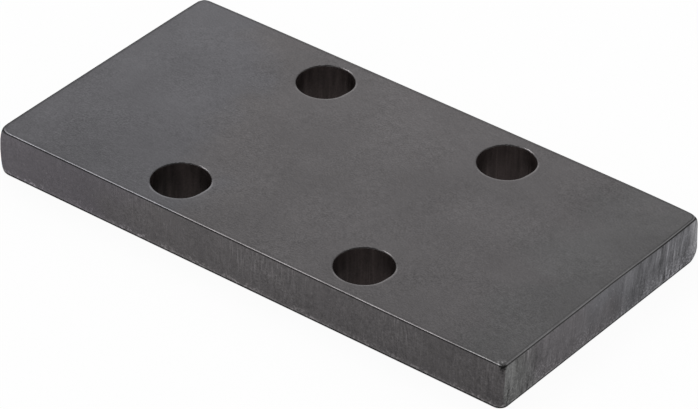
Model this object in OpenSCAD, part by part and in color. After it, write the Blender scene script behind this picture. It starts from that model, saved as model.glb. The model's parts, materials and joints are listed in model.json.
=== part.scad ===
// Adapter plate: a short length of 2 x 5/16 inch flat steel bar with four plain bolt holes.
// The holes stand in a square in the middle, and both ends are left blank for clamping.
// The origin is the centre of the underside. X runs along the bar, Y across it and Z up.
// Sizes are in millimetres.

/* [Plate] */
// Length that the bar is cut to
plate_length = 99.2; // [60:0.1:200]
// Width of the flat bar
plate_width = 50.8; // [26:0.1:120]
// Thickness of the flat bar
plate_thickness = 7.94; // [3:0.01:20]

/* [Bolt holes] */
// Distance between hole centres along the bar
hole_pitch_x = 36; // [14:0.5:80]
// Distance from each long edge to the hole centres next to it
edge_distance = 7.4; // [5.5:0.1:19.5]
// Distance between hole centres across the bar, which follows its width
hole_pitch_y = plate_width - 2 * edge_distance;
// Diameter of each through hole
hole_diameter = 9.5; // [4:0.1:11]

/* [Broken edges] */
// Radius along the edges of the top and the underside
edge_radius = 0.35; // [0.1:0.05:1]
// Radius of the four upright corners
corner_radius = 1.5; // [1.1:0.1:8]
// Radius round the mouths of the holes
mouth_radius = 0.3; // [0.1:0.05:1]

/* [Hidden] */
// Facets of a full circle in the preview
$fn = 64;
// Length by which a cutter stands out of the face that it cuts
overshoot = 1;
// Colour of the blackened steel
black_oxide = [0.375, 0.37, 0.38];

// Cross-section of the plate, square to an edge: the underside lies on the first axis
module section(width) {
    core_width = width - 2 * edge_radius;
    core_height = plate_thickness - 2 * edge_radius;
    translate([0, plate_thickness / 2]) {
        square([core_width, plate_thickness], center = true);
        square([width, core_height], center = true);
        for (side = [-1, 1], end = [-1, 1])
            translate([side * core_width / 2, end * core_height / 2])
                circle(r = edge_radius);
    }
}

// Plate without its holes: the section drawn out both ways, and turned at each corner
module blank() {
    straight_x = plate_length - 2 * corner_radius;
    straight_y = plate_width - 2 * corner_radius;
    rotate([90, 0, 90])
        linear_extrude(height = straight_x, center = true)
            section(plate_width);
    rotate([90, 0, 0])
        linear_extrude(height = straight_y, center = true)
            section(plate_length);
    for (side = [-1, 1], end = [-1, 1])
        translate([side * straight_x / 2, end * straight_y / 2, 0])
            corner_post();
}

// One rounded corner of the plate: half the section, turned about its own upright axis
module corner_post() {
    rotate_extrude()
        intersection() {
            section(2 * corner_radius);
            square([corner_radius, plate_thickness]);
        }
}

// What is drilled away for one hole, with its rounded mouths on both faces
module hole_cutter() {
    wall = hole_diameter / 2;
    mouth = wall + mouth_radius;
    rotate_extrude()
        difference() {
            translate([0, -overshoot])
                square([mouth, plate_thickness + 2 * overshoot]);
            // the lip that stays between the two mouths
            translate([wall, mouth_radius])
                square([mouth_radius, plate_thickness - 2 * mouth_radius]);
            for (height = [mouth_radius, plate_thickness - mouth_radius])
                translate([mouth, height])
                    circle(r = mouth_radius);
        }
}

module plate() {
    color(black_oxide)
        difference() {
            blank();
            for (side = [-1, 1], end = [-1, 1])
                translate([side * hole_pitch_x / 2, end * hole_pitch_y / 2, 0])
                    hole_cutter();
        }
}

plate();
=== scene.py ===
import json
import math

import bmesh
import bpy
from mathutils import Euler, Matrix, Vector, noise


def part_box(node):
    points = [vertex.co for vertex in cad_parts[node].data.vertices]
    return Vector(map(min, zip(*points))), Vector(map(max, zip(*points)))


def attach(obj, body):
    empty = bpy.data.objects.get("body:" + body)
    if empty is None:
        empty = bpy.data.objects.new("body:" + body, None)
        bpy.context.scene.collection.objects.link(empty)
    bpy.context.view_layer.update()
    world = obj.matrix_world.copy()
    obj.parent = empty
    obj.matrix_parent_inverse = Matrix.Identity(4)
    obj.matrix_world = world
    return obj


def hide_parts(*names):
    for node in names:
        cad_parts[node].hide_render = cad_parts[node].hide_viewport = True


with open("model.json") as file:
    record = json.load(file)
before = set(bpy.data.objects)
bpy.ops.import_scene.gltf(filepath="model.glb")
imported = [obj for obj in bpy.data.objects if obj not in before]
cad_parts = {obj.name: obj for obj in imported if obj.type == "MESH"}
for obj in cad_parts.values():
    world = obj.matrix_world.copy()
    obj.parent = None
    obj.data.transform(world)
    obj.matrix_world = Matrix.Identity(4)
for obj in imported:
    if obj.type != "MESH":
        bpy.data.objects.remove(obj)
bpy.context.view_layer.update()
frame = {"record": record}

mm = 0.001
weldDistance = 0.0001 * mm
touching = 0.001 * mm            # distances below this count as none
slack = 0.01 * mm                # allowance where a place is held against a radius


def newObject(name, bm):
    mesh = bpy.data.meshes.new(name)
    bm.to_mesh(mesh)
    bm.free()
    made = bpy.data.objects.new(name, mesh)
    bpy.context.scene.collection.objects.link(made)
    return made


def ramp(value, low, high):
    # 0 below low, 1 above high, with a soft start and end
    t = min(1.0, max(0.0, (value - low) / (high - low)))
    return t * t * (3 - 2 * t)


def near(distance, full, none):
    # 1 up to the first distance, 0 from the second on
    return 1 - ramp(distance, full, none)


def bell(value, middle, width):
    return math.exp(-((value - middle) / width) ** 2)


# The plate: a cut length of flat bar with four drilled holes

plateShape = {
    "cornerRadius": 1.5 * mm,    # upright corners, before they are worn
    "cornerSteps": 9,
    "edgeRadius": 0.35 * mm,     # round the top and the underside
    "edgeSteps": 6,
    "mouthRadius": 0.15 * mm,    # round the holes
    "mouthSteps": 4,
    "holeSteps": 96,
    "drillLength": 1.5,          # in thicknesses of the plate
    "rimBands": 3,               # narrow strips of the flat faces beside each rounding
    "bandWidth": 0.15 * mm,
    "rowHeights": (0.45, 0.6, 0.8, 1.2, 2, 3, 4, 5, 6, 6.8, 7.4),   # mm, rows of faces up a side
    "columnsFromEnd": (1.5, 2.3, 3.2, 4.3, 5.6, 7.2, 9.2, 11.8, 15, 19),   # mm
    "endColumns": 14,            # columns that each long strip across an end is split into
    "longStrip": 1 * mm,
}

plateLow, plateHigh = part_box("plate")
plateSize = plateHigh - plateLow
half = plateSize / 2
pattern = next(m for m in frame["record"]["mounts"] if m["kind"] == "bolt_pattern")
holeRadius = pattern["dims"]["hole_r_mm"] * mm
holeX = pattern["dims"]["spacing_x_mm"] * mm / 2
holeY = pattern["dims"]["spacing_y_mm"] * mm / 2
holeCentres = [Vector((sx * holeX, sy * holeY, 0)) for sx in (-1, 1) for sy in (-1, 1)]


def cutBar():
    # a length of bar with its upright corners rounded and cut lines where the shape needs them
    bm = bmesh.new()
    place = Matrix.Translation((plateLow + plateHigh) / 2) @ Matrix.Diagonal((*plateSize, 1))
    bmesh.ops.create_cube(bm, size=1, matrix=place)
    upright = [e for e in bm.edges if abs(e.verts[0].co.z - e.verts[1].co.z) > half.z]
    bmesh.ops.bevel(bm, geom=upright, offset=plateShape["cornerRadius"], offset_type="OFFSET",
                    segments=plateShape["cornerSteps"], profile=0.5, affect="EDGES", material=-1)
    acrossX = [side * (half.x - d * mm) for side in (-1, 1) for d in plateShape["columnsFromEnd"]]
    cuts = [((x, 0, 0), (1, 0, 0)) for x in (*acrossX, -holeX, 0, holeX)]
    cuts += [((0, y, 0), (0, 1, 0)) for y in (-holeY, 0, holeY)]
    cuts += [((0, 0, z * mm), (0, 0, 1)) for z in plateShape["rowHeights"]]
    for point, normal in cuts:
        bmesh.ops.bisect_plane(bm, geom=[*bm.verts, *bm.edges, *bm.faces], dist=weldDistance,
                               plane_co=point, plane_no=normal)
    return newObject("bar", bm)


def drills():
    bm = bmesh.new()
    for centre in holeCentres:
        bmesh.ops.create_cone(bm, cap_ends=True, segments=plateShape["holeSteps"],
                              radius1=holeRadius, radius2=holeRadius,
                              depth=plateSize.z * plateShape["drillLength"],
                              matrix=Matrix.Translation(centre + Vector((0, 0, half.z))))
    return newObject("drills", bm)


def drill(bar, cutter):
    cut = bar.modifiers.new("drilled", "BOOLEAN")
    cut.operation = "DIFFERENCE"
    cut.solver = "EXACT"
    cut.object = cutter
    drilled = bar.evaluated_get(bpy.context.evaluated_depsgraph_get())
    bm = bmesh.new()
    bm.from_mesh(bpy.data.meshes.new_from_object(drilled))
    for used in (bar, cutter):
        bpy.data.objects.remove(used, do_unlink=True)
    bmesh.ops.remove_doubles(bm, verts=bm.verts, dist=weldDistance)
    return bm


def nearestHole(point):
    return min(holeCentres, key=lambda centre: (point.xy - centre.xy).length)


def fromHole(point):
    # distance from the wall of the nearest hole, 0 on the wall
    return (point.xy - nearestHole(point).xy).length - holeRadius


def roundHole(point):
    # angle of a point round the nearest hole, in degrees from +X
    centre = nearestHole(point)
    return math.degrees(math.atan2(point.y - centre.y, point.x - centre.x))


def apart(angle, other):
    # how many degrees lie between two directions
    return abs((angle - other + 180) % 360 - 180)


def liesFlat(face):
    return abs(face.normal.z) > math.cos(math.radians(45))


def breakEdges(bm):
    # rounds the sharp edges between a flat face and an upright one
    bm.normal_update()
    sharp = [e for e in bm.edges if len(e.link_faces) == 2
             and liesFlat(e.link_faces[0]) != liesFlat(e.link_faces[1])]
    rims = [e for e in sharp if all(fromHole(v.co) < slack for v in e.verts)]
    outer = [e for e in sharp if e not in rims]
    for edges, radius, steps in ((outer, plateShape["edgeRadius"], plateShape["edgeSteps"]),
                                 (rims, plateShape["mouthRadius"], plateShape["mouthSteps"])):
        bmesh.ops.bevel(bm, geom=edges, offset=radius, offset_type="OFFSET", segments=steps,
                        profile=0.5, affect="EDGES", material=-1, clamp_overlap=False)
    for flat in (plateLow.z, plateHigh.z):
        faces = [f for f in bm.faces if all(abs(v.co.z - flat) < touching for v in f.verts)]
        for band in range(plateShape["rimBands"]):
            bmesh.ops.inset_region(bm, faces=faces, thickness=plateShape["bandWidth"],
                                   use_boundary=True, use_even_offset=True)


def columnEnds(bm):
    # splits the strips that run across both ends, so that the ends can be uneven
    inner = half.x - plateShape["edgeRadius"] - slack
    across = [e for e in bm.edges
              if all(abs(v.co.x) > inner for v in e.verts)
              and abs(e.verts[0].co.x - e.verts[1].co.x) < touching
              and abs(e.verts[0].co.z - e.verts[1].co.z) < touching
              and e.calc_length() > plateShape["longStrip"]]
    bmesh.ops.subdivide_edges(bm, edges=across, cuts=plateShape["endColumns"], use_grid_fill=True)


# Painted highlights and painted shade on the edges, kept on the vertices for the finishes
# Slopes are those of the rounding, in degrees: 0 is flat, 90 is upright. A zone is a pair of
# distances from an edge: full up to the first one, none from the second on.

paintedEdgeLight = {
    "brightSlope": 14, "brightWidth": 11,    # slope of the painted highlight line
    "darkSlope": 38, "darkWidth": 17,        # and of the painted shade line outside it
    "rightZone": (1.0 * mm, 1.3 * mm),       # what counts as the right edge
    "rightEdge": 0.80,           # how strong its marks are beside the front ones, up to its far end
    "farEnd": (4 * mm, 20 * mm),             # the far end comes on between these places along Y
    "farWiden": 7,               # how much wider the dark line gets there
    "corner": 0.05,              # painted shade: how much darker the long edges get towards the right end
    "cornerReach": 7 * mm,
    "inner": 0.32,               # how dark the painted shade line is that runs inside the painted highlight
    "innerAt": 2,                # where it runs, in bands from the rounding
    "innerFar": 0.25,            # how much darker it gets at the far end, where it runs a band farther out
    "farZone": (0.4 * mm, 0.7 * mm),         # what counts as the back or the left edge
    "backEdge": 0.45, "leftEdge": 0.8,       # how dark the painted shade on these is
    "farSlopes": (-20, 10),      # slopes between which that comes on
    "farPale": 0.06,             # how pale the painted light strip inside them is
    "paleAt": 2, "paleWidth": 1.5,           # where it runs and how far it reaches, in bands
    "reach": 2.5,                # bands of the top that take marks
    "underside": 1.0,            # painted contact shade: how dark the lower edges are
    "undersideZone": (0.35 * mm, 0.6 * mm),
    "lowThread": 0.28,           # painted reflection of the floor: a pale line just above them
    "lowThreadAt": 0.6 * mm, "lowThreadWidth": 0.15 * mm,
}

# Painted highlights and painted shade on the mouth of each hole; angles are counted round a hole from +X,
# in degrees
paintedRimLight = {
    "glintAt": 83, "glintWidth": 13,         # angle of a painted glint, and its slope
    "glintSlope": 15, "glintSlopes": 30,
    "darkAt": 135, "darkWidth": 62,          # angle of a part darkened by painted shade
    "darkFrom": (-40, 30), "darkTo": (45, 90),   # slopes between which it comes on and goes off
    "darkLoss": 0.92,            # share of it that is lost past the rounding
    "pale": 0.48,                # strength of a painted highlight line, and its angle
    "paleAt": -45, "paleWidth": 70, "paleFade": 20,
    "paleSlopes": 50,
    "paleLoss": 0.6,
    "lossReach": 0.1 * mm,
    "reach": 1.1,                # bands of the top that take marks
}


def inFromOutline(point):
    # distance in from the outline of the plate as seen from above
    radius = plateShape["cornerRadius"]
    u = abs(point.x) - half.x + radius
    w = abs(point.y) - half.y + radius
    return radius - math.hypot(max(u, 0), max(w, 0)) - min(max(u, w), 0)


def slopeAt(drop, radius):
    # slope of a rounding, in degrees, where it has dropped this far below its flat face
    return math.degrees(math.acos(min(1, max(-1, 1 - drop / radius))))


def markRim(point, slope, away):
    # painted highlight and painted shade on the mouth of a hole, at a distance past its rounding
    angle = roundHole(point)
    lost = ramp(away, 0, paintedRimLight["lossReach"])
    glint = 0
    if away == 0:
        glint = bell(apart(angle, paintedRimLight["glintAt"]), 0, paintedRimLight["glintWidth"])
        glint *= bell(slope, paintedRimLight["glintSlope"], paintedRimLight["glintSlopes"])
    paleEnd = paintedRimLight["paleWidth"] + paintedRimLight["paleFade"]
    pale = paintedRimLight["pale"] * near(apart(angle, paintedRimLight["paleAt"]), paintedRimLight["paleWidth"], paleEnd)
    pale *= bell(slope, 0, paintedRimLight["paleSlopes"]) * (1 - paintedRimLight["paleLoss"] * lost)
    dark = (1 - glint) * bell(apart(angle, paintedRimLight["darkAt"]), 0, paintedRimLight["darkWidth"])
    dark *= ramp(slope, *paintedRimLight["darkFrom"]) * near(slope, *paintedRimLight["darkTo"])
    return glint + pale, dark * (1 - paintedRimLight["darkLoss"] * lost)


def markOutline(point, slope, inward):
    # painted highlight and painted shade on the rounded outline of the top, and on the bands inside it
    backness = near(half.y - point.y, *paintedEdgeLight["farZone"])
    leftness = near(half.x + point.x, *paintedEdgeLight["farZone"])
    nearness = 1 - max(backness, leftness)
    rightness = near(half.x - point.x, *paintedEdgeLight["rightZone"])
    farEnd = rightness * ramp(point.y, *paintedEdgeLight["farEnd"])
    if inward > slack:
        bands = inward / plateShape["bandWidth"]
        line = near(abs(bands - paintedEdgeLight["innerAt"] + farEnd), 0, 1)
        strip = near(abs(bands - paintedEdgeLight["paleAt"]), 0, paintedEdgeLight["paleWidth"])
        inner = paintedEdgeLight["inner"] + paintedEdgeLight["innerFar"] * farEnd
        return paintedEdgeLight["farPale"] * strip * (1 - nearness), inner * line * nearness
    strength = 1 - (1 - paintedEdgeLight["rightEdge"]) * (rightness - farEnd)
    bright = bell(slope, paintedEdgeLight["brightSlope"], paintedEdgeLight["brightWidth"]) * nearness * strength
    darkWidth = paintedEdgeLight["darkWidth"] + paintedEdgeLight["farWiden"] * farEnd
    dark = bell(slope, paintedEdgeLight["darkSlope"], darkWidth) * strength
    corner = bell(half.x - point.x, 0, paintedEdgeLight["cornerReach"]) * (1 - rightness)
    dark *= 1 + paintedEdgeLight["corner"] * corner
    far = max(backness * paintedEdgeLight["backEdge"], leftness * paintedEdgeLight["leftEdge"])
    return bright, max(dark, far * ramp(slope, *paintedEdgeLight["farSlopes"]))


def markEdges(bm):
    # stores on each vertex how far painted highlights brighten it and painted shade darkens it
    bright = bm.verts.layers.float.new("bright")
    dark = bm.verts.layers.float.new("dark")
    band = plateShape["bandWidth"]
    for v in bm.verts:
        hole = fromHole(v.co)
        atHole = hole < plateShape["mouthRadius"] + paintedRimLight["reach"] * band
        radius = plateShape["mouthRadius"] if atHole else plateShape["edgeRadius"]
        inward = (hole if atHole else inFromOutline(v.co)) - radius
        below, above = plateHigh.z - v.co.z, v.co.z - plateLow.z
        onTop = below < radius + touching
        if atHole and onTop:
            v[bright], v[dark] = markRim(v.co, slopeAt(below, radius), max(0, inward - slack))
        elif onTop and inward < paintedEdgeLight["reach"] * band:
            v[bright], v[dark] = markOutline(v.co, slopeAt(below, radius), inward)
        elif not atHole and inward < slack:
            # painted contact shade on the lower edges, and a painted reflection of the floor as a pale
            # line just above it
            v[dark] = paintedEdgeLight["underside"] * near(above, *paintedEdgeLight["undersideZone"])
            thread = bell(above, paintedEdgeLight["lowThreadAt"], paintedEdgeLight["lowThreadWidth"])
            v[bright] = paintedEdgeLight["lowThread"] * thread


# What cutting, drilling and use did to this one plate

wornShape = {
    # radius of each upright corner at these heights, all in mm
    "cornerHeights": (0, 1, 2, 4, 6, 7.2, 7.94),
    "cornerRadii": {"frontLeft": (2.4, 1.85, 1.6, 1.38, 1.5, 1.85, 2.5),
                    "frontRight": (1.6, 1.3, 1.0, 0.75, 0.8, 0.87, 0.95),
                    "backLeft": (1.9, 1.65, 1.4, 1.3, 1.4, 1.5, 1.6),
                    "backRight": (2.6, 1.15, 0.75, 0.9, 1.1, 1.3, 2.0)},
    "cornerReach": 4.3 * mm,     # how far from a corner its own radius shows
    "backDrop": 0.02 * mm,       # how far the back top edge is rolled down
    "rightRoll": 0.34 * mm,      # how much more beside its right end, and over what length
    "rightRollReach": 6.2 * mm,
    "leftRoll": 0.16 * mm,       # the same beside its left end
    "leftRollReach": 8 * mm,
    "backZone": (0.2 * mm, 1 * mm),
    "leftDrop": 0.10 * mm,       # how far the left top edge is rolled down
    "leftCornerDrop": 0.12 * mm,   # how much more beside both its corners
    "leftCornerReach": 3.5 * mm,
    "leftZone": (0.3 * mm, 1 * mm),
    "rollFrom": 5 * mm,          # height from which a side follows its rolled edge
    "endWave": 0.035 * mm,       # unevenness of the sheared ends
    "wavesPerMetre": (50, 260, 90),
    "endZone": (0, 0.2 * mm),
    "leftLean": 0.08 * mm,       # how far the top of the left end leans in
    # where the near top edges stray from straight: place along the edge, shift outwards, reach, in mm
    "frontStray": ((46, -0.09, 4),),
    "rightStray": ((2.5, -0.06, 7), (16, 0.12, 8)),
    "strayZone": (0.4 * mm, 1 * mm),
    "strayHeights": (4 * mm, plateHigh.z - 0.5 * mm),
}

# Holes as they were really cut; angles are counted round a hole from +X
holeShape = {
    "flatAt": -7,                # each wall runs a little inwards here
    "flatDepth": 0.25 * mm,
    "flatWidth": 21,
    "raggedAt": 112,             # the rim is broken away and ragged on this side
    "raggedDepth": 0.20 * mm,
    "raggedWidth": 50,
    "raggedEven": 0.8,           # how much of that is broken away evenly, beside the teeth
    "raggedZone": (0, 0.4 * mm),
    "teeth": 14,                 # how fine the ragged part is
    "teethShift": 90,            # gives each hole teeth of its own
    "reach": 1.2 * mm,           # how far from a wall its shape shows on the faces
}


def cornerRadius(name, height):
    heights, radii = wornShape["cornerHeights"], wornShape["cornerRadii"][name]
    radius = radii[0]
    for low, high, one, other in zip(heights, heights[1:], radii, radii[1:]):
        radius += (other - one) * min(1, max(0, (height / mm - low) / (high - low)))
    return radius * mm


def wearCorner(v):
    # gives each upright corner its own radius, which changes with height
    sx, sy = math.copysign(1, v.co.x), math.copysign(1, v.co.y)
    u, w = half.x - abs(v.co.x), half.y - abs(v.co.y)
    first, reach = plateShape["cornerRadius"], wornShape["cornerReach"]
    if max(u, w) > reach or min(u, w) >= first:
        return
    name = ("front" if sy < 0 else "back") + ("Left" if sx < 0 else "Right")
    radius = cornerRadius(name, v.co.z)
    if max(u, w) < first:
        # on the round part, which is turned about its new centre
        out = Vector((first - u, first - w))
        inset = first - out.length
        centre = max(radius, inset)
        arm = out.normalized() * max(radius - inset, 0)
        u, w = centre - arm.x, centre - arm.y
    else:
        # on the straight part beside it, which gets longer or shorter
        centre = max(radius, min(u, w))
        stretch = (reach - centre) / (reach - first)
        if u >= first:
            u = centre + (u - first) * stretch
        else:
            w = centre + (w - first) * stretch
    v.co.x, v.co.y = sx * (half.x - u), sy * (half.y - w)


def wearHole(v):
    # draws each hole's wall inwards at one side and leaves its rim ragged at another
    away = fromHole(v.co)
    if away > holeShape["reach"]:
        return
    centre = nearestHole(v.co)
    angle = roundHole(v.co)
    flat = bell(apart(angle, holeShape["flatAt"]), 0, holeShape["flatWidth"])
    ragged = bell(apart(angle, holeShape["raggedAt"]), 0, holeShape["raggedWidth"])
    ragged *= near(half.z - abs(v.co.z - half.z), *holeShape["raggedZone"])
    teeth = noise.noise(Vector((math.radians(angle) * holeShape["teeth"],
                                centre.x * holeShape["teethShift"], centre.y * holeShape["teethShift"])))
    ragged *= holeShape["raggedEven"] + teeth
    shift = ragged * holeShape["raggedDepth"] - flat * holeShape["flatDepth"]
    out = (v.co.xy - centre.xy).normalized() * shift * near(away, 0, holeShape["reach"])
    v.co.x += out.x
    v.co.y += out.y


def rolled(point):
    # how far a point drops with the back or the left top edge
    back = wornShape["backDrop"]
    back += wornShape["rightRoll"] * math.exp(-(half.x - point.x) / wornShape["rightRollReach"])
    back += wornShape["leftRoll"] * math.exp(-(half.x + point.x) / wornShape["leftRollReach"])
    fromCorner = half.y - abs(point.y)
    left = wornShape["leftDrop"]
    left += wornShape["leftCornerDrop"] * math.exp(-fromCorner / wornShape["leftCornerReach"])
    drop = max(back * near(half.y - point.y, *wornShape["backZone"]),
               left * near(half.x + point.x, *wornShape["leftZone"]))
    return Vector((0, 0, -drop * ramp(point.z, wornShape["rollFrom"], plateHigh.z)))


def sheared(point):
    # how far a point of an end lies in from the straight cut; the noise runs from -1 to 1
    waves = Vector(along * many for along, many in zip(point, wornShape["wavesPerMetre"]))
    inwards = wornShape["endWave"] * (0.5 + 0.5 * noise.noise(waves))
    if point.x < 0:
        inwards += wornShape["leftLean"] * point.z / plateSize.z
    inwards *= near(half.x - abs(point.x), *wornShape["endZone"])
    return Vector((-math.copysign(inwards, point.x), 0, 0))


def strayed(point):
    # how far a point of the front or the right side lies off the straight edge
    def outwards(along, strays):
        return sum(shift * bell(along / mm, at, reach) for at, shift, reach in strays) * mm

    upper = ramp(point.z, *wornShape["strayHeights"])
    onFront = upper * near(half.y + point.y, *wornShape["strayZone"])
    onRight = upper * near(half.x - point.x, *wornShape["strayZone"])
    return Vector((onRight * outwards(point.y, wornShape["rightStray"]),
                   -onFront * outwards(point.x, wornShape["frontStray"]), 0))


def wearShape(bm):
    for v in bm.verts:
        wearCorner(v)
        wearHole(v)
        v.co += rolled(v.co) + sheared(v.co) + strayed(v.co)


bm = drill(cutBar(), drills())
breakEdges(bm)
columnEnds(bm)
markEdges(bm)
wearShape(bm)
bmesh.ops.recalc_face_normals(bm, faces=bm.faces)
for face in bm.faces:
    face.smooth = True
plate = newObject("steel_plate", bm)
print("plate:", len(plate.data.polygons), "faces")

steady = plate.modifiers.new("flat faces stay flat", "WEIGHTED_NORMAL")
steady.mode = "FACE_AREA"
steady.weight = 50
steady.keep_sharp = False


# Short forms for shader nodes

def nodeMaker(tree):
    # add("kind", Socket_Name=value or link); i0, i1 and so on reach a socket by its number
    def make(kind, **sockets):
        node = tree.nodes.new(kind)
        for name, value in sockets.items():
            if hasattr(node, name):
                setattr(node, name, value)
                continue
            byNumber = name[0] == "i" and name[1:].isdigit()
            socket = node.inputs[int(name[1:]) if byNumber else name.replace("_", " ")]
            if isinstance(value, bpy.types.NodeSocket):
                tree.links.new(value, socket)
            else:
                socket.default_value = value
        return node
    return make


def emptyTree(owner):
    # gives a material or a world a cleared node tree, and returns its node maker
    owner.use_nodes = True
    owner.node_tree.nodes.clear()
    return nodeMaker(owner.node_tree)


def newGroup(name, inputs, outputs):
    group = bpy.data.node_groups.new(name, "ShaderNodeTree")
    for label, kind, value in inputs:
        socket = group.interface.new_socket(name=label, in_out="INPUT", socket_type="NodeSocket" + kind)
        if value is not None:
            socket.default_value = value
    for label, kind in outputs:
        group.interface.new_socket(name=label, in_out="OUTPUT", socket_type="NodeSocket" + kind)
    return group, group.nodes.new("NodeGroupInput").outputs, group.nodes.new("NodeGroupOutput").inputs


def calc(add, operation, *values, clamp=False):
    # a math node on up to three values or links
    numbered = {f"i{number}": value for number, value in enumerate(values)}
    return add("ShaderNodeMath", operation=operation, use_clamp=clamp, **numbered).outputs[0]


def dot(add, one, other):
    return add("ShaderNodeVectorMath", operation="DOT_PRODUCT", i0=one, i1=other).outputs["Value"]


def remap(add, value, fromRange, toRange, smooth=False):
    # brings a value from one range to another, and holds it at both ends
    (fromMin, fromMax), (toMin, toMax) = fromRange, toRange
    return add("ShaderNodeMapRange", interpolation_type="SMOOTHSTEP" if smooth else "LINEAR", Value=value,
               From_Min=fromMin, From_Max=fromMax, To_Min=toMin, To_Max=toMax).outputs[0]


def noiseTone(add, place, size, toRange=(-1.0, 1.0), fromRange=(0.3, 0.7), detail=2.0, rough=0.55):
    # a noise of the given grain size in metres, brought to a range
    source = add("ShaderNodeTexNoise", Vector=place, Scale=1 / size, Detail=detail, Roughness=rough)
    return remap(add, source.outputs["Fac"], fromRange, toRange)


def spots(add, place, size, levels):
    # 0 where a noise is below the first level, 1 where it is above the second
    return noiseTone(add, place, size, (0.0, 1.0), levels, detail=1.0)


# Groups that the finishes share

oxideForm = {
    "patchSize": 12 * mm,
    "mottleSize": 1.1 * mm, "mottle": 0.45,  # beside the grain's strength
    "grainSize": 0.32 * mm,
    "regionSize": 9 * mm, "region": (0.45, 1.4),   # how strong the grain is from place to place
    "speckSize": 0.5 * mm, "speckLevels": (0.66, 0.78),
}


def oxideToneGroup():
    # tone of the blackening: slow patches, a mottled grain and pale specks, and painted light and shade as
    # a drift along the plate
    group, given, result = newGroup(
        "oxide tone",
        [("Place", "Vector", None), ("Patch Depth", "Float", 0.1), ("Grain Depth", "Float", 0.1),
         ("Speck", "Float", 0.3), ("Drift", "Vector", (0, 0, 0))],
        [("Tone", "Float"), ("Rough", "Float"), ("Height", "Float")])
    add = nodeMaker(group)
    place = given["Place"]
    patch = noiseTone(add, place, oxideForm["patchSize"], detail=3.0)
    mottle = noiseTone(add, place, oxideForm["mottleSize"])
    grain = noiseTone(add, place, oxideForm["grainSize"])
    region = noiseTone(add, place, oxideForm["regionSize"], oxideForm["region"], detail=1.0)
    specks = spots(add, place, oxideForm["speckSize"], oxideForm["speckLevels"])
    fine = calc(add, "MULTIPLY_ADD", mottle, oxideForm["mottle"], grain)
    fineHere = calc(add, "MULTIPLY", fine, region)
    tone = calc(add, "MULTIPLY_ADD", patch, given["Patch Depth"], dot(add, place, given["Drift"]))
    tone = calc(add, "MULTIPLY_ADD", fineHere, given["Grain Depth"], tone)
    tone = calc(add, "MULTIPLY_ADD", specks, given["Speck"], tone)
    group.links.new(calc(add, "ADD", tone, 1.0), result["Tone"])
    group.links.new(patch, result["Rough"])
    group.links.new(fine, result["Height"])
    return group


tintForm = {
    "wanderSize": 16 * mm,
    "wander": 1.4,               # how far the line wanders, in times its softness
}


def tintGroup():
    # turns the colour beyond a wandering line across the plate
    group, given, result = newGroup(
        "tint beyond a line",
        [("Place", "Vector", None), ("Tint", "Color", (1, 1, 1, 1)), ("Toward", "Vector", (-1, 0, 0)),
         ("Start", "Float", 0.02), ("Softness", "Float", 5 * mm)],
        [("Color", "Color")])
    add = nodeMaker(group)
    past = calc(add, "SUBTRACT", dot(add, given["Place"], given["Toward"]), given["Start"])
    astray = (-tintForm["wander"], tintForm["wander"])
    wander = noiseTone(add, given["Place"], tintForm["wanderSize"], astray)
    reached = calc(add, "ADD", calc(add, "DIVIDE", past, given["Softness"]), wander)
    share = remap(add, reached, (-1.0, 1.0), (0.0, 1.0), smooth=True)
    mixed = add("ShaderNodeMix", data_type="RGBA", i0=share, i6=(1, 1, 1, 1), i7=given["Tint"])
    group.links.new(mixed.outputs[2], result["Color"])
    return group


marksForm = {
    "smearTimes": 4.0,           # how many times as wide as a streak a smear is
    "streakLevels": (0.5, 0.75),
    "regionSize": 7 * mm, "region": (-0.4, 1.4),   # how strong the streaks are from place to place
    "hangHeights": (1.5 * mm, 6.5 * mm),   # a hanging streak ends between these
    "gatherFade": 6 * mm,
}


def uprightMarksGroup():
    # what runs up a side: broad smears, and fine pale streaks that may hang from the top edge
    group, given, result = newGroup(
        "upright marks",
        [("Place", "Vector", None), ("Width", "Float", 0.3 * mm), ("Length", "Float", 5 * mm),
         ("Lean", "Float", 0.0), ("Smear", "Float", 0.1), ("Streak", "Float", 0.1), ("Hang", "Float", 0.5),
         ("Toward", "Vector", (1, 0, 0)), ("Calm", "Float", 0.0), ("Start", "Float", 0.0),
         ("Least", "Float", 0.3)],
        [("Mark", "Float")])
    add = nodeMaker(group)
    x, y, z = add("ShaderNodeSeparateXYZ", i0=given["Place"]).outputs
    lean = calc(add, "MULTIPLY", z, given["Lean"])
    up = calc(add, "DIVIDE", z, given["Length"])

    def stretched(times):
        # the place squeezed sideways, so that a noise drawn on it runs up the side
        width = calc(add, "MULTIPLY", given["Width"], times)
        across = [calc(add, "DIVIDE", calc(add, "SUBTRACT", axis, lean), width) for axis in (x, y)]
        return add("ShaderNodeCombineXYZ", i0=across[0], i1=across[1], i2=up).outputs[0]

    smear = noiseTone(add, stretched(marksForm["smearTimes"]), 1.0)
    streak = spots(add, stretched(1.0), 1.0, marksForm["streakLevels"])
    region = noiseTone(add, given["Place"], marksForm["regionSize"], marksForm["region"], detail=1.0)
    high = remap(add, z, marksForm["hangHeights"], (0.0, 1.0))
    hung = add("ShaderNodeMix", data_type="FLOAT", i0=given["Hang"], i2=1.0, i3=high).outputs[0]
    streaks = calc(add, "MULTIPLY", streak, calc(add, "MULTIPLY", region, hung, clamp=True))
    smears = calc(add, "MULTIPLY", smear, given["Smear"])
    marks = calc(add, "MULTIPLY_ADD", streaks, given["Streak"], smears)
    # the side is calm round one place along it, and the marks gather farther off
    offset = calc(add, "SUBTRACT", dot(add, given["Place"], given["Toward"]), given["Calm"])
    past = calc(add, "SUBTRACT", calc(add, "ABSOLUTE", offset), given["Start"])
    fade = marksForm["gatherFade"]
    share = remap(add, past, (-fade, fade), (given["Least"], 1.0), smooth=True)
    group.links.new(calc(add, "MULTIPLY", marks, share), result["Mark"])
    return group


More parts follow.
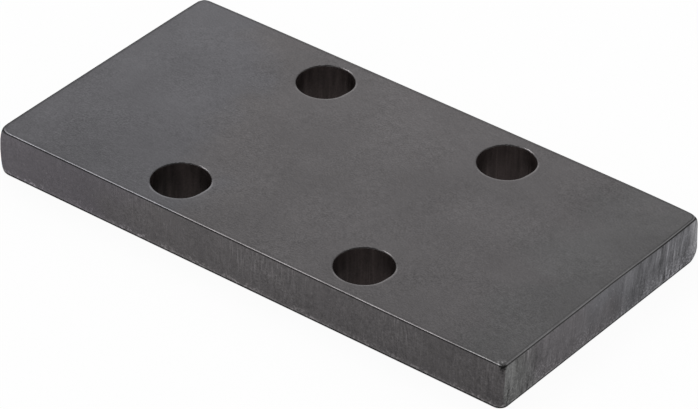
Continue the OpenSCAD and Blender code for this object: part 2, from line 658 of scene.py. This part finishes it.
scuffForm = {
    "size": 0.4 * mm, "levels": (0.52, 0.62),
    "regionSize": 8 * mm, "region": (0.1, 1.1),
    "from": 0.2 * mm,            # height below which they are at their strongest
}


def lowScuffsGroup():
    # pale scuffs along the lower edge of a side
    group, given, result = newGroup(
        "low scuffs", [("Place", "Vector", None), ("Strength", "Float", 2.0), ("Height", "Float", 2 * mm)],
        [("Scuff", "Float")])
    add = nodeMaker(group)
    z = add("ShaderNodeSeparateXYZ", i0=given["Place"]).outputs["Z"]
    low = remap(add, z, (scuffForm["from"], given["Height"]), (1.0, 0.0))
    bits = spots(add, given["Place"], scuffForm["size"], scuffForm["levels"])
    region = noiseTone(add, given["Place"], scuffForm["regionSize"], scuffForm["region"], detail=1.0)
    scuffs = calc(add, "MULTIPLY", calc(add, "MULTIPLY", low, bits), region, clamp=True)
    group.links.new(calc(add, "MULTIPLY", scuffs, given["Strength"]), result["Scuff"])
    return group


darkCornerForm = {
    "raggedSize": 0.35 * mm, "ragged": 0.35,   # distances from the centre are in times its size
    "edge": (0.35, 1.1),
    "crumbReach": (1.0, 2.6),
    "crumbSize": 0.4 * mm, "crumbLevels": (0.5, 0.62),
}


def darkCornerGroup():
    # painted shade: a dark spot with a ragged edge round a point, which runs down a little, with pale
    # crumbs beside it
    group, given, result = newGroup(
        "darkCorner",
        [("Place", "Vector", None), ("Centre", "Vector", (0, 0, 0)), ("Size", "Float", 0.6 * mm),
         ("Run", "Float", 0.3)],
        [("Dark", "Float"), ("Crumbs", "Float")])
    add = nodeMaker(group)
    offset = add("ShaderNodeVectorMath", operation="SUBTRACT", i0=given["Place"], i1=given["Centre"])
    x, y, z = add("ShaderNodeSeparateXYZ", i0=offset.outputs[0]).outputs
    squeezed = add("ShaderNodeCombineXYZ", i0=x, i1=y, i2=calc(add, "MULTIPLY", z, given["Run"]))
    away = add("ShaderNodeVectorMath", operation="LENGTH", i0=squeezed.outputs[0]).outputs["Value"]
    times = calc(add, "DIVIDE", away, given["Size"])
    edge = (-darkCornerForm["ragged"], darkCornerForm["ragged"])
    ragged = calc(add, "ADD", times, noiseTone(add, given["Place"], darkCornerForm["raggedSize"], edge))
    spot = remap(add, ragged, darkCornerForm["edge"], (1.0, 0.0), smooth=True)
    beside = remap(add, times, darkCornerForm["crumbReach"], (1.0, 0.0), smooth=True)
    crumbs = spots(add, given["Place"], darkCornerForm["crumbSize"], darkCornerForm["crumbLevels"])
    group.links.new(spot, result["Dark"])
    group.links.new(calc(add, "MULTIPLY", beside, crumbs), result["Crumbs"])
    return group


edgeForm = {
    "bright": 1.85,              # gain where a painted highlight brightens an edge
    "unevenSize": 5 * mm, "uneven": (0.6, 1.3),   # how that gain changes from place to place
    "dark": 0.95,                # loss where painted shade darkens it
    "smooth": 0.25,              # how far the roughness falls on both
}


def paintedEdgeLightGroup():
    # what the painted highlights and painted shade kept on the vertices do to the tone and the roughness
    group, given, result = newGroup(
        "painted light on edges", [("Place", "Vector", None)],
        [("Gain", "Float"), ("Kept", "Float"), ("Smoothing", "Float")])
    add = nodeMaker(group)
    bright = add("ShaderNodeAttribute", attribute_name="bright").outputs["Fac"]
    dark = add("ShaderNodeAttribute", attribute_name="dark").outputs["Fac"]
    uneven = noiseTone(add, given["Place"], edgeForm["unevenSize"], edgeForm["uneven"])
    thread = calc(add, "MULTIPLY", bright, uneven)
    both = calc(add, "ADD", bright, dark, clamp=True)
    group.links.new(calc(add, "MULTIPLY", thread, edgeForm["bright"]), result["Gain"])
    group.links.new(calc(add, "MULTIPLY_ADD", dark, -edgeForm["dark"], 1.0), result["Kept"])
    group.links.new(calc(add, "MULTIPLY", both, edgeForm["smooth"]), result["Smoothing"])
    return group


oxideTone = oxideToneGroup()
tintBeyond = tintGroup()
uprightMarks = uprightMarksGroup()
lowScuffs = lowScuffsGroup()
darkCorner = darkCornerGroup()
paintedEdgeLightNodes = paintedEdgeLightGroup()
print("groups:", len(bpy.data.node_groups))


# Finishes of the blackened steel
# The drift is painted light and shade: how much paler the tone gets per metre along X, Y and Z. Crumbs are
# the pale bits beside the painted dark corner spot. A tint has its colour, the way it lies, and its start
# and softness in mm.

finishes = {
    "rolled face": {
        "base": (0.0949, 0.0900, 0.0918), "rough": 0.46, "bump": 0.014 * mm,
        "patch": 0.115, "grain": 0.145, "speck": 0.18, "drift": (-1.2, 5.5, 0), "crumbs": 1.3,
        "tints": [((0.965, 1.0, 1.045), (-1, -0.44, 0), 22, 5),
                  ((0.97, 1.0, 0.995), (1, 0.2, 0), 40, 5)],
    },
    "drawn side": {
        "base": (0.0916, 0.0860, 0.0878), "rough": 0.46, "bump": 0.014 * mm,
        "patch": 0.07, "grain": 0.19, "speck": 0.4, "drift": (-4.8, 0, 19), "crumbs": 0.0,
        "tints": [((1.0, 0.99, 1.06), (-1, 0, 0), 24, 5)],
        "marks": {"Width": 0.24 * mm, "Length": 3 * mm, "Lean": 0.0,
                  "Smear": 0.07, "Streak": 0.75, "Hang": 0.85,
                  "Toward": (1, 0, 0), "Calm": -60 * mm, "Start": 48 * mm, "Least": 0.55},
        "scuffs": {"Strength": 2.4, "Height": 1.6 * mm},
    },
    "sheared end": {
        "base": (0.1006, 0.0990, 0.1000), "rough": 0.44, "bump": 0.014 * mm,
        "patch": 0.14, "grain": 0.31, "speck": 0.70, "drift": (0, 5.0, 64), "crumbs": 0.25,
        "tints": [((0.972, 0.934, 0.968), (0, 1, 0), -18, 3),
                  ((1.007, 1.056, 1.07), (0, 1, 0), 2, 5),
                  ((0.96, 0.975, 0.955), (0, -1, 0), 18, 2),
                  # the last one is a painted highlight, not a tint: 1.8 times paler towards the back of
                  # the end, most near its top
                  ((1.8, 1.8, 1.75), (0, 1, 0.35), 24.6, 1.2)],
        "marks": {"Width": 0.34 * mm, "Length": 9 * mm, "Lean": 0.09,
                  "Smear": 0.62, "Streak": 1.6, "Hang": 0.0,
                  "Toward": (0, 1, 0), "Calm": -4.5 * mm, "Start": 12.5 * mm, "Least": 0.24},
        "scuffs": {"Strength": 2.1, "Height": 4.5 * mm},
    },
    "drilled wall": {
        # its base is kept far darker than the faces as painted shade inside the bore, and its drift
        # darkens it further down
        "base": (0.0274, 0.0214, 0.0206), "rough": 0.48, "bump": 0.01 * mm,
        "patch": 0.2, "grain": 0.2, "speck": 0.0, "drift": (6.0, 11, 60), "crumbs": 0.0,
        "tints": [],
        "marks": {"Width": 0.3 * mm, "Length": 9 * mm, "Lean": 0.0,
                  "Smear": 0.4, "Streak": 0.6, "Hang": 0.0,
                  "Toward": (0, 0, 1), "Calm": 0.0, "Start": 0.0, "Least": 1.0},
    },
}
steelLook = {
    "metallic": 0.75,
    "edgeTint": (0.4, 0.4, 0.4, 1),          # colour of the sheen at a low angle
    "roughPatches": 0.03,
    "bumpStrength": 0.5,
}

# Painted shade on the near corner of the top: a dark spot, and a thin dark streak running down below it.
# A run of 1 is a round spot, and less is one that runs down.
darkCornerLook = {
    "at": (half.x - 0.3 * mm, -half.y + 0.3 * mm, plateHigh.z),
    "spots": ({"Size": 0.80 * mm, "Run": 0.95}, {"Size": 0.32 * mm, "Run": 0.14}),
    "losses": (0.85, 0.4),
}


def finishMaterial(name, look):
    material = bpy.data.materials.new(name)
    add = emptyTree(material)
    place = add("ShaderNodeTexCoord").outputs["Object"]
    tone = add("ShaderNodeGroup", node_tree=oxideTone, Place=place, Patch_Depth=look["patch"],
               Grain_Depth=look["grain"], Speck=look["speck"], Drift=look["drift"])
    level = tone.outputs["Tone"]
    for key, group in (("marks", uprightMarks), ("scuffs", lowScuffs)):
        if key in look:
            marks = add("ShaderNodeGroup", node_tree=group, Place=place, **look[key])
            level = calc(add, "ADD", level, marks.outputs[0])
    # painted highlights and painted shade on the edges and round the holes, from the marks kept on the
    # vertices
    edgeLight = add("ShaderNodeGroup", node_tree=paintedEdgeLightNodes, Place=place)
    level = calc(add, "ADD", level, edgeLight.outputs["Gain"])
    # painted shade on the near top corner, with pale crumbs beside it
    darkCorners = [add("ShaderNodeGroup", node_tree=darkCorner, Place=place, Centre=darkCornerLook["at"], **spot)
               for spot in darkCornerLook["spots"]]
    level = calc(add, "MULTIPLY_ADD", darkCorners[0].outputs["Crumbs"], look["crumbs"], level)
    level = calc(add, "MULTIPLY", level, edgeLight.outputs["Kept"])
    for spot, loss in zip(darkCorners, darkCornerLook["losses"]):
        level = calc(add, "MULTIPLY", level, calc(add, "MULTIPLY_ADD", spot.outputs["Dark"], -loss, 1.0))
    colour = add("ShaderNodeVectorMath", operation="SCALE", i0=look["base"], Scale=level).outputs[0]
    for tint, toward, start, softness in look["tints"]:
        turned = add("ShaderNodeGroup", node_tree=tintBeyond, Place=place, Tint=(*tint, 1), Toward=toward,
                     Start=start * mm, Softness=softness * mm)
        colour = add("ShaderNodeVectorMath", operation="MULTIPLY", i0=colour,
                     i1=turned.outputs["Color"]).outputs[0]
    rough = calc(add, "MULTIPLY_ADD", tone.outputs["Rough"], steelLook["roughPatches"], look["rough"])
    rough = calc(add, "SUBTRACT", rough, edgeLight.outputs["Smoothing"])
    bump = add("ShaderNodeBump", Strength=steelLook["bumpStrength"], Distance=look["bump"],
               Height=tone.outputs["Height"])
    shader = add("ShaderNodeBsdfPrincipled", Base_Color=colour, Metallic=steelLook["metallic"],
                 Roughness=rough, Specular_Tint=steelLook["edgeTint"], Normal=bump.outputs[0])
    add("ShaderNodeOutputMaterial", Surface=shader.outputs[0])
    return material


for name, look in finishes.items():
    plate.data.materials.append(finishMaterial(name, look))

# what a face needs to get each finish
finishLimits = {
    "wall": 0.6,                 # most that a wall's normal points up or down
    "face": 0.5,                 # least that a rolled face's does
    "end": 2.4,                  # how many times as far an end's points along X as along Y
}


def finishOf(face):
    x, y, z = (abs(part) for part in face.normal)
    if fromHole(face.center) < 2 * plateShape["mouthRadius"] and z < finishLimits["wall"]:
        return "drilled wall"
    if z > finishLimits["face"]:
        return "rolled face"
    return "sheared end" if x > finishLimits["end"] * y else "drawn side"


for face in plate.data.polygons:
    face.material_index = list(finishes).index(finishOf(face))

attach(plate, "root")
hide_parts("plate")
print("finishes:", len(plate.data.materials))


# Floor and light

studio = {
    "floorSize": 6.0,
    "floorDrop": 0.02 * mm,      # how far the floor lies below the plate
    "floorColour": (0.92, 0.92, 0.92),
    "floorGlow": 0.94,           # share of the floor's white that no shadow darkens
    "worldLevel": 0.8,           # what lights dull surfaces; it shows as 1
    "keyPower": 1.25,
    "keySize": 0.35,
    "keyAt": (-0.43, 0.28, 0.67),
}


def whiteRays(add):
    # 1 for what is seen directly, in a gloss or through glass
    rays = add("ShaderNodeLightPath").outputs
    seen = calc(add, "MAXIMUM", rays["Is Camera Ray"], rays["Is Glossy Ray"])
    return calc(add, "MAXIMUM", seen, rays["Is Transmission Ray"])


def makeFloor():
    bm = bmesh.new()
    bmesh.ops.create_grid(bm, x_segments=1, y_segments=1, size=studio["floorSize"] / 2,
                          matrix=Matrix.Translation((0, 0, -studio["floorDrop"])))
    floor = newObject("floor", bm)
    material = bpy.data.materials.new("pale floor")
    add = emptyTree(material)
    dull = add("ShaderNodeBsdfDiffuse", Color=(*studio["floorColour"], 1))
    glow = add("ShaderNodeEmission", Strength=1.0)
    share = calc(add, "MULTIPLY", whiteRays(add), studio["floorGlow"])
    mixed = add("ShaderNodeMixShader", i0=share, i1=dull.outputs[0], i2=glow.outputs[0])
    # clear from below, so that the underside of the plate can be looked at
    clear = add("ShaderNodeBsdfTransparent")
    below = add("ShaderNodeNewGeometry").outputs["Backfacing"]
    oneWay = add("ShaderNodeMixShader", i0=below, i1=mixed.outputs[0], i2=clear.outputs[0])
    add("ShaderNodeOutputMaterial", Surface=oneWay.outputs[0])
    floor.data.materials.append(material)


def makeWorld():
    world = bpy.data.worlds.new("white studio")
    bpy.context.scene.world = world
    add = emptyTree(world)
    level = remap(add, whiteRays(add), (0.0, 1.0), (studio["worldLevel"], 1.0))
    white = add("ShaderNodeBackground", Color=(1, 1, 1, 1), Strength=level)
    add("ShaderNodeOutputWorld", Surface=white.outputs[0])


def makeKey():
    lamp = bpy.data.lights.new("soft box", "AREA")
    lamp.shape = "SQUARE"
    lamp.size = studio["keySize"]
    lamp.energy = studio["keyPower"]
    key = bpy.data.objects.new("soft box", lamp)
    key.location = studio["keyAt"]
    key.rotation_euler = (-key.location).to_track_quat("-Z", "Y").to_euler()
    bpy.context.scene.collection.objects.link(key)


makeFloor()
makeWorld()
makeKey()
print("studio: floor, world and lamp")


# Camera

shot = {
    "aim": (6.154 * mm, -6.668 * mm, 8 * mm),
    "azimuth": 37.618,
    "elevation": 34.642,
    "roll": 1.012,
    "distance": 0.69930,
    "lens": 235.100,
    "clip": (0.01, 20),
}


def makeCamera():
    data = bpy.data.cameras.new("camera")
    data.lens = shot["lens"]
    data.clip_start, data.clip_end = shot["clip"]
    camera = bpy.data.objects.new("camera", data)
    a, e = math.radians(shot["azimuth"]), math.radians(shot["elevation"])
    back = Vector((math.sin(a) * math.cos(e), -math.cos(a) * math.cos(e), math.sin(e)))
    camera.location = Vector(shot["aim"]) + back * shot["distance"]
    turn = (-back).to_track_quat("-Z", "Y") @ Euler((0, 0, math.radians(shot["roll"]))).to_quaternion()
    camera.rotation_euler = turn.to_euler()
    bpy.context.scene.collection.objects.link(camera)
    bpy.context.scene.camera = camera


makeCamera()
bpy.context.scene.view_settings.view_transform = "Standard"
print("camera: set")
